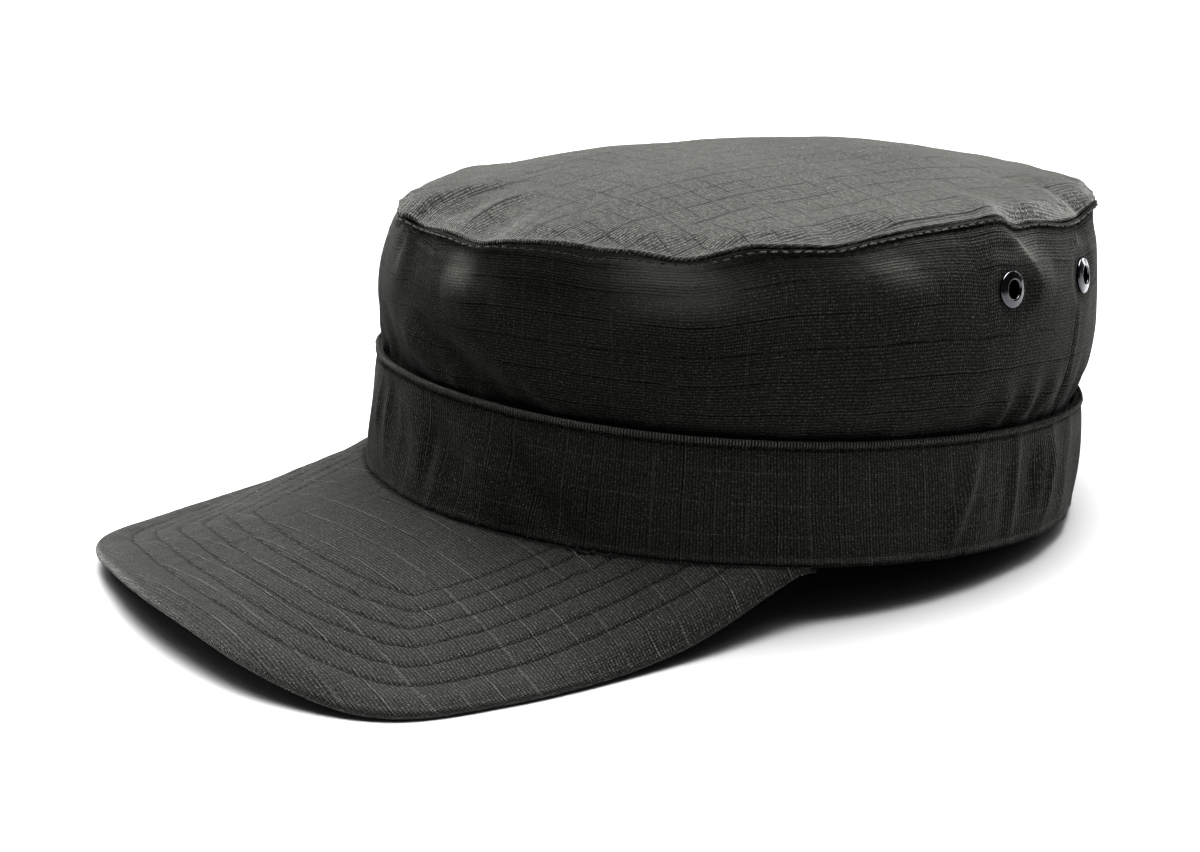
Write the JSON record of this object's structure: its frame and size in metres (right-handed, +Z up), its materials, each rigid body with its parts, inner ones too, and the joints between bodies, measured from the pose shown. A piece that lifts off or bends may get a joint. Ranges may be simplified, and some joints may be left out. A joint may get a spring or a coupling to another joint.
{
  "type": "patrol cap",
  "caption": "Flat-topped cloth patrol cap with a deep band, gathered crown, stitched visor and metal eyelets.",
  "frame": {"origin": "middle of the bounding box in plan, on the floor that the cap rests on", "axes": "+Y to the wearer's back, +X to the wearer's left, +Z up from the floor"},
  "size_m": [0.183, 0.276, 0.0994],
  "materials": {
    "crown_cloth": "ripstop weave",
    "band_cloth": "ripstop weave",
    "visor_cloth": "ripstop weave, stitched",
    "eyelet_metal": "black lacquer"
  },
  "bodies": {
    "root": {"crown_top": "crown_cloth", "crown_side": "crown_cloth", "band": "band_cloth", "visor": "visor_cloth", "eyelet_left_front": "eyelet_metal", "eyelet_left_rear": "eyelet_metal", "eyelet_right_front": "eyelet_metal", "eyelet_right_rear": "eyelet_metal"}
  },
  "joints": []
}
